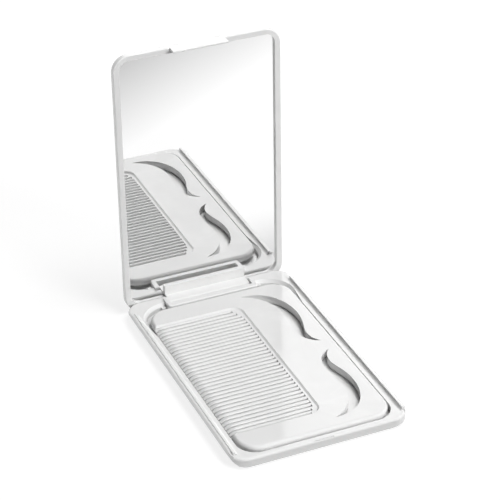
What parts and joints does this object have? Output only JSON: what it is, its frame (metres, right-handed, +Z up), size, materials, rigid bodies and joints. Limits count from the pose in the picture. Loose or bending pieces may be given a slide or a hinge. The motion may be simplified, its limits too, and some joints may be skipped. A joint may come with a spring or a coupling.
{
  "type": "folding compact with comb and mirror",
  "caption": "Slim folding pocket compact: a tray with a loose pierced comb lying in a well, and a framed mirror lid that swings up on a hinge pin.",
  "frame": {"origin": "middle of the tray's flat underside", "axes": "+X along the hinge pin, +Y towards the hinge, +Z up out of the tray; the lid stands open, upright along +Z"},
  "size_m": [0.062, 0.103, 0.0991],
  "materials": {
    "casing_white": "polished injection moulding",
    "lid_white": "polished injection moulding",
    "comb_white": "polished injection moulding",
    "mirror_silver": "silvered flat glass",
    "pin_steel": "drawn wire",
    "adhesive": "thin foam sheet"
  },
  "bodies": {
    "base": {"base_tray": "casing_white", "base_shell": "casing_white", "hinge_pin": "pin_steel"},
    "lid": {"lid_frame": "lid_white", "lid_shell": "lid_white", "hinge_knuckle": "lid_white", "mirror": "mirror_silver", "mirror_adhesive": "adhesive"},
    "comb_body": {"comb": "comb_white"}
  },
  "joints": [
    {"name": "lid_hinge", "type": "hinge", "parent": "base", "child": "lid", "pos_m": [0, 0.04645, 0.0017], "axis": [1, 0, 0], "range_deg": [0, 90]},
    {"name": "comb_lift", "type": "slide", "parent": "base", "child": "comb_body", "axis": [0, 0, 1], "range_m": [0, 0.03]}
  ]
}
